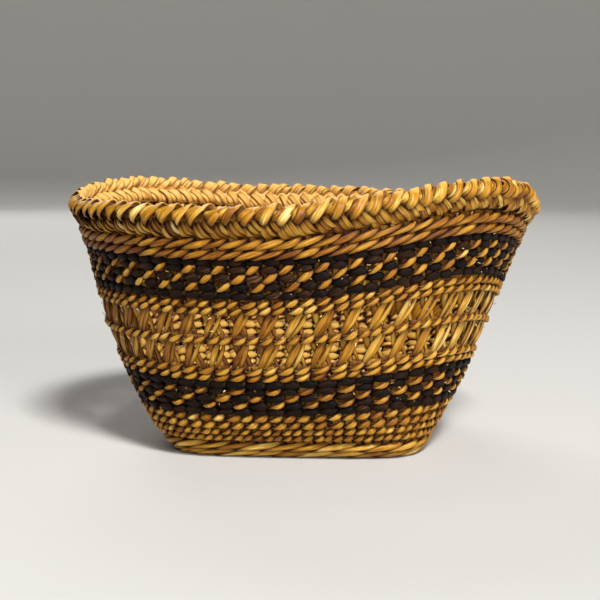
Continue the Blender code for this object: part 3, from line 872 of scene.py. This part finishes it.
def make_bundle(bundle, node, base, up, out, share):
    """One bundle of the braid.

    It rises and falls with the sine of its phase, further down than up, and comes out and in with the sine
    of twice the phase. Its face turns over where it wraps round the braid's edges. Its strips overlap like
    shingles, and fan out below the braid's middle. In each turn of it, chance changes its reach, its depth
    and the width of its strips twice, their places three times, and their shades four times.
    """
    points = len(share)
    phase = 2 * np.pi * (BRAID_TURNS * share + bundle / len(BUNDLE_NODES))
    height = (np.sin(phase) - BRAID_STRAIGHTNESS * np.sin(3 * phase)) / (1 + BRAID_STRAIGHTNESS)
    height = np.where(height > 0, plateau(height, BRAID_HOLD), height)
    reach = np.where(height > 0, BRAID_RISE, BRAID_DROP)
    reach = reach * (1 + REACH_SPREAD * wander(1, BRAID_TURNS * 2, points)[0])
    depth = BRAID_DEPTH * np.sin(2 * phase + BRAID_EARLINESS)
    depth = depth * (1 + DEPTH_SPREAD * wander(1, BRAID_TURNS * 2, points)[0])
    path = base + (reach * height)[:, None] * up + depth[:, None] * out
    facing_out = np.sign(np.cos(phase)) * np.sqrt(np.abs(np.cos(phase)))
    face = facing_out[:, None] * out + np.sqrt(1 - facing_out**2)[:, None] * up
    ahead = unit(np.roll(path, -1, axis=0) - np.roll(path, 1, axis=0))
    side = unit(np.cross(ahead, face))
    face = np.cross(side, ahead)
    strip = (np.arange(BUNDLE_STRIPS) - (BUNDLE_STRIPS - 1) / 2)[:, None]
    spacing = BRAID_STRIP_WIDTH * (BRAID_SPACING - BRAID_FANNING * height)
    sideways = strip * spacing + wander(BUNDLE_STRIPS, BRAID_TURNS * 3, points) * STRIP_SLIP
    stacked = strip * BRAID_SHINGLE + wander(BUNDLE_STRIPS, BRAID_TURNS * 3, points) * STRIP_LIFT
    paths = path + sideways[..., None] * side + stacked[..., None] * face
    width = BRAID_STRIP_WIDTH * (1 + STRIP_WIDTH_SPREAD * wander(BUNDLE_STRIPS, BRAID_TURNS * 2, points))
    width = width * (1 + BRAID_TOP_BREADTH * np.clip(height, 0, 1))
    faces = np.broadcast_to(face, paths.shape)
    rings = ribbon(paths, faces, width, BRAID_STRIP_THICKNESS, True, SIDES, BRAID_STRIP_CREASE)
    tone = stitch_tones(np.broadcast_to(phase, (BUNDLE_STRIPS, points)), 1)
    tone = tone + STRIP_SHADES * wander(BUNDLE_STRIPS, BRAID_TURNS * 4, points)
    inward = np.clip(-BUNDLE_INNER_GAIN * depth / BRAID_DEPTH, 0, 1)
    # Painted shade darkens the strips where bundles cross at the braid's middle, less of it on the lit inner
    # side
    recess = (CROSSING_PAINTED_SHADE - LESS_PAINTED_SHADE_INSIDE * inward) * np.exp(-((height / CROSSING_PAINTED_SHADE_REACH) ** 2))
    make_strands(f"{node}_strips", rings, tone, recess, True, dry_grass, (node,), inward)


def make_braid():
    """The braid along the rim, and inside it the core of cut warp ends, darkened outside as painted shade and
    painted paler inside as light.

    A layer of the core is half as thick as the core, so its middle lies a quarter of that off the core's.
    """
    points = BRAID_TURNS * BRAID_POINTS_IN_TURN
    share = np.arange(points) / points
    stitches = BRAID_TURNS * len(BUNDLE_NODES)
    shifted = share + wander(1, stitches, points)[0] * STITCH_STRAY / stitches
    _, up, out = wall_axes(shifted, BRAID_MIDDLE)
    base = wall_point(shifted, BRAID_MIDDLE) - WALL_THICKNESS / 2 * out
    for bundle, node in enumerate(BUNDLE_NODES):
        make_bundle(bundle, node, base, up, out, share)
    # The outer layer of the core is darkened as painted shade, the inner one made paler as painted light
    for name, side, tone, recess, inward in CORE_LAYERS:
        path = (base - CORE_DROP * up + side * CORE_THICKNESS / 4 * out)[None]
        layer = ribbon(path, out[None], CORE_WIDTH, CORE_THICKNESS / 2, True)
        make_strands(f"rim_braid_{name}", layer, tone, recess, True, dry_grass, (), inward)


def make_base():
    """The plaited base: flat strips that pass over and under each other.

    The height along a strip is a cosine, held level on each crossing, and a strip ends where it meets the
    superellipse of the base.
    """
    middle = (BASE_STRIPS - 1) / 2
    step = (BASE_STRIP_THICKNESS + BASE_CLEARANCE) / 2
    inset = BASE_CORD_THICKNESS - BASE_TUCK_IN
    halves = [size(BASE_CORD_HEIGHT / 2) - inset for size in (half_width, half_depth)]
    number = np.arange(BASE_STRIPS)[:, None]
    for crosswise, way in enumerate(("lengthwise", "crosswise")):
        half_along, half_across = reversed(halves) if crosswise else halves
        pitch_along = (2 * half_along - BASE_STRIP_SPACING) / BASE_STRIPS
        pitch_across = (2 * half_across - BASE_STRIP_SPACING) / BASE_STRIPS
        offset = (number - middle) * pitch_across
        width = (pitch_across - BASE_STRIP_SPACING) * (1 + chance.uniform(*STRIP_WIDTHS, (BASE_STRIPS, 1)))
        edge = (np.abs(offset) + STRIP_SHOULDER * pitch_across) / half_across
        reach = half_along * (1 - edge**BASE_SQUARENESS) ** (1 / BASE_SQUARENESS)
        place = np.linspace(-1, 1, BASE_STRIPS * STRIP_POINTS + 1) * reach
        turn = np.pi * (place / pitch_along - middle + number + crosswise)
        level = step * plateau(np.cos(turn), STRIP_LEVELNESS)
        height = BASE_LIFT + BASE_STRIP_THICKNESS / 2 + step + level
        sideways = offset + STRIP_WAVER * np.sin(place / STRIP_WAVER_LENGTH + number)
        x, y = (sideways, place) if crosswise else (place, sideways)
        path = np.stack((x, y, height), axis=-1)
        path[..., 0] += wall_middle(BASE_CORD_HEIGHT / 2)
        face = np.broadcast_to((0.0, 0.0, 1.0), path.shape)
        rings = ribbon(path, face, width, BASE_STRIP_THICKNESS, False)
        tone = chance.uniform(*BASE_TONES, (BASE_STRIPS, 1))
        for n in range(BASE_STRIPS):
            node = f"base_strip_{way}_{n + 1}"
            one, shade = rings[n : n + 1], tone[n : n + 1]
            make_strands(f"{node}_bark", one, shade, BASE_DIRT, False, cedar_bark, (node,))


def make_wall():
    """The base cord, the stack of courses and openwork bands on it, and the warps inside the courses."""
    for ply, kind, stitches, middle in BASE_CORD_PLIES:
        weft = WEFTS[kind]
        rings, tone, recess, inward = twined_rings(weft, stitches // weft["strands"], middle, 0, upright=True)
        # Painted light: the cord's grass is made paler to stand in for light under the wall's overhang
        cord = rings, tone + CORD_PAINTED_LIGHT, recess, inward
        make_weft(f"base_edge_cord_{ply}_ply", cord, dry_grass, "base_edge_cord")
    height = BASE_CORD_HEIGHT
    foot = WEFTS["fine"]
    turns = FOOT_WARPS // foot["strands"]
    still = np.zeros(turns * POINTS_IN_TURN)
    warps = [course_warps(foot, turns, height * FOOT_WARP_MIDDLE, height * FOOT_WARP_LENGTH, 0, still)]
    for name, pitch, count, stitches, kind in STACK:
        for n in range(count):
            label = f"{name}_{n + 1}" if count > 1 else name
            if kind == "openwork":
                make_crossed_warps(label, height, height + pitch, stitches)
            else:
                warps.append(make_course(label, kind, stitches, height, height + pitch, n))
            height += pitch
    warps = np.concatenate(warps)
    tone = chance.uniform(*WARP_TONES, (len(warps), 1))
    # The warps are darkened as painted shade deep in the weave, and take painted light on their inner halves
    make_strands("upright_warps", warps, tone, WARP_SHADE_AND_DIRT, False, dry_grass, painted_light_inside=1.0)


def make_loose_fibres():
    """Pale ends of broken fibres: tapered splinters that stand out of the dark courses and the openwork.

    A splinter runs from a point on the wall in its own direction, and bends with the square of its length.
    """
    for name, bottom, top, count in LOOSE_FIBRES:
        share = chance.uniform(0, 1, (count, 1))
        height = chance.uniform(bottom, top, (count, 1))
        along, up, out = wall_axes(share, height)
        length = chance.uniform(*FIBRE_LENGTHS, (count, 1))
        reach = np.linspace(0, 1, FIBRE_POINTS)[None, :] * length
        lean = [chance.uniform(low, high, (count, 1, 1)) for low, high in FIBRE_LEANS]
        way = unit(lean[0] * along + lean[1] * up + lean[2] * out)
        bend = stray(FIBRE_BEND, count, 1) * reach**2
        path = wall_point(share, height) - FIBRE_ROOT * out + reach[..., None] * way + bend[..., None] * up
        width = chance.uniform(*FIBRE_WIDTHS, (count, 1)) * np.linspace(1, FIBRE_TIP, FIBRE_POINTS)
        rings = ribbon(path, out + np.zeros_like(path), width, FIBRE_THICKNESS, False, FIBRE_SIDES)
        tone = chance.uniform(*FIBRE_TONES, (count, 1))
        make_strands(name, rings, tone, 0.0, False, dry_grass)


def make_stage():
    """A round pale floor that curves up all round into a backdrop: a flat disc, a quarter circle, a wall."""
    bend = np.linspace(0, np.pi / 2, BEND_RINGS)
    corner = FLOOR_RADIUS + BACKDROP_BEND * np.sin(bend)
    radius = np.concatenate((np.linspace(FLOOR_MIDDLE, FLOOR_RADIUS, FLOOR_RINGS), corner[1:], corner[-1:]))
    climb = BACKDROP_BEND * (1 - np.cos(bend))
    height = np.concatenate((np.zeros(FLOOR_RINGS), climb[1:], [BACKDROP_HEIGHT]))
    turn = 2 * np.pi * np.arange(STAGE_SIDES) / STAGE_SIDES
    rings = np.stack(
        (
            radius[:, None] * np.cos(turn),
            radius[:, None] * np.sin(turn),
            np.broadcast_to(height[:, None], (len(radius), STAGE_SIDES)),
        ),
        axis=-1,
    )
    row, column = np.meshgrid(range(len(radius) - 1), range(STAGE_SIDES), indexing="ij")
    after = (column + 1) % STAGE_SIDES
    first, second = row * STAGE_SIDES, (row + 1) * STAGE_SIDES
    faces = np.stack((first + column, second + column, second + after, first + after), axis=-1)
    faces = [list(range(STAGE_SIDES))] + faces.reshape(-1, 4).tolist()
    mesh = bpy.data.meshes.new("studio_floor")
    mesh.from_pydata(rings.reshape(-1, 3).tolist(), [], faces)
    mesh.shade_smooth()
    material = bpy.data.materials.new("matt_paper")
    material.use_nodes = True
    shader = material.node_tree.nodes["Principled BSDF"]
    shader.inputs["Base Color"].default_value = colour(PAPER)
    shader.inputs["Roughness"].default_value = PAPER_ROUGHNESS
    mesh.materials.append(material)
    floor = bpy.data.objects.new("studio_floor", mesh)
    bpy.context.scene.collection.objects.link(floor)


def make_lamp(name, place, size, power):
    """A square lamp at its place, turned to face the point that all lamps aim at."""
    lamp = bpy.data.lights.new(name, "AREA")
    lamp.size = size
    lamp.energy = power
    obj = bpy.data.objects.new(name, lamp)
    bpy.context.scene.collection.objects.link(obj)
    obj.location = place
    x, y, z = np.array(place) - np.array(LAMP_AIM)
    obj.rotation_euler = (math.atan2(math.hypot(x, y), z), 0, math.atan2(x, -y))


def make_studio():
    """Soft light from above, from the front right and from behind, and a dim warm light from all round."""
    for lamp in LAMPS:
        make_lamp(*lamp)
    world = bpy.data.worlds.new("studio")
    world.use_nodes = True
    background = world.node_tree.nodes["Background"]
    background.inputs["Color"].default_value = colour(SURROUND)
    background.inputs["Strength"].default_value = SURROUND_STRENGTH
    bpy.context.scene.world = world
    bpy.context.scene.view_settings.view_transform = "Standard"


def make_camera():
    """The camera, where the photograph was taken from."""
    camera = bpy.data.cameras.new("camera")
    camera.lens = FOCAL_LENGTH
    camera.sensor_width = FRAME_WIDTH
    camera.clip_start = CAMERA_CLIP
    obj = bpy.data.objects.new("camera", camera)
    obj.location = CAMERA_PLACE
    obj.rotation_euler = (CAMERA_PITCH, 0, CAMERA_TURN)
    bpy.context.scene.collection.objects.link(obj)
    bpy.context.scene.camera = obj


make_base()
make_wall()
make_braid()
make_loose_fibres()
make_stage()
make_studio()
make_camera()
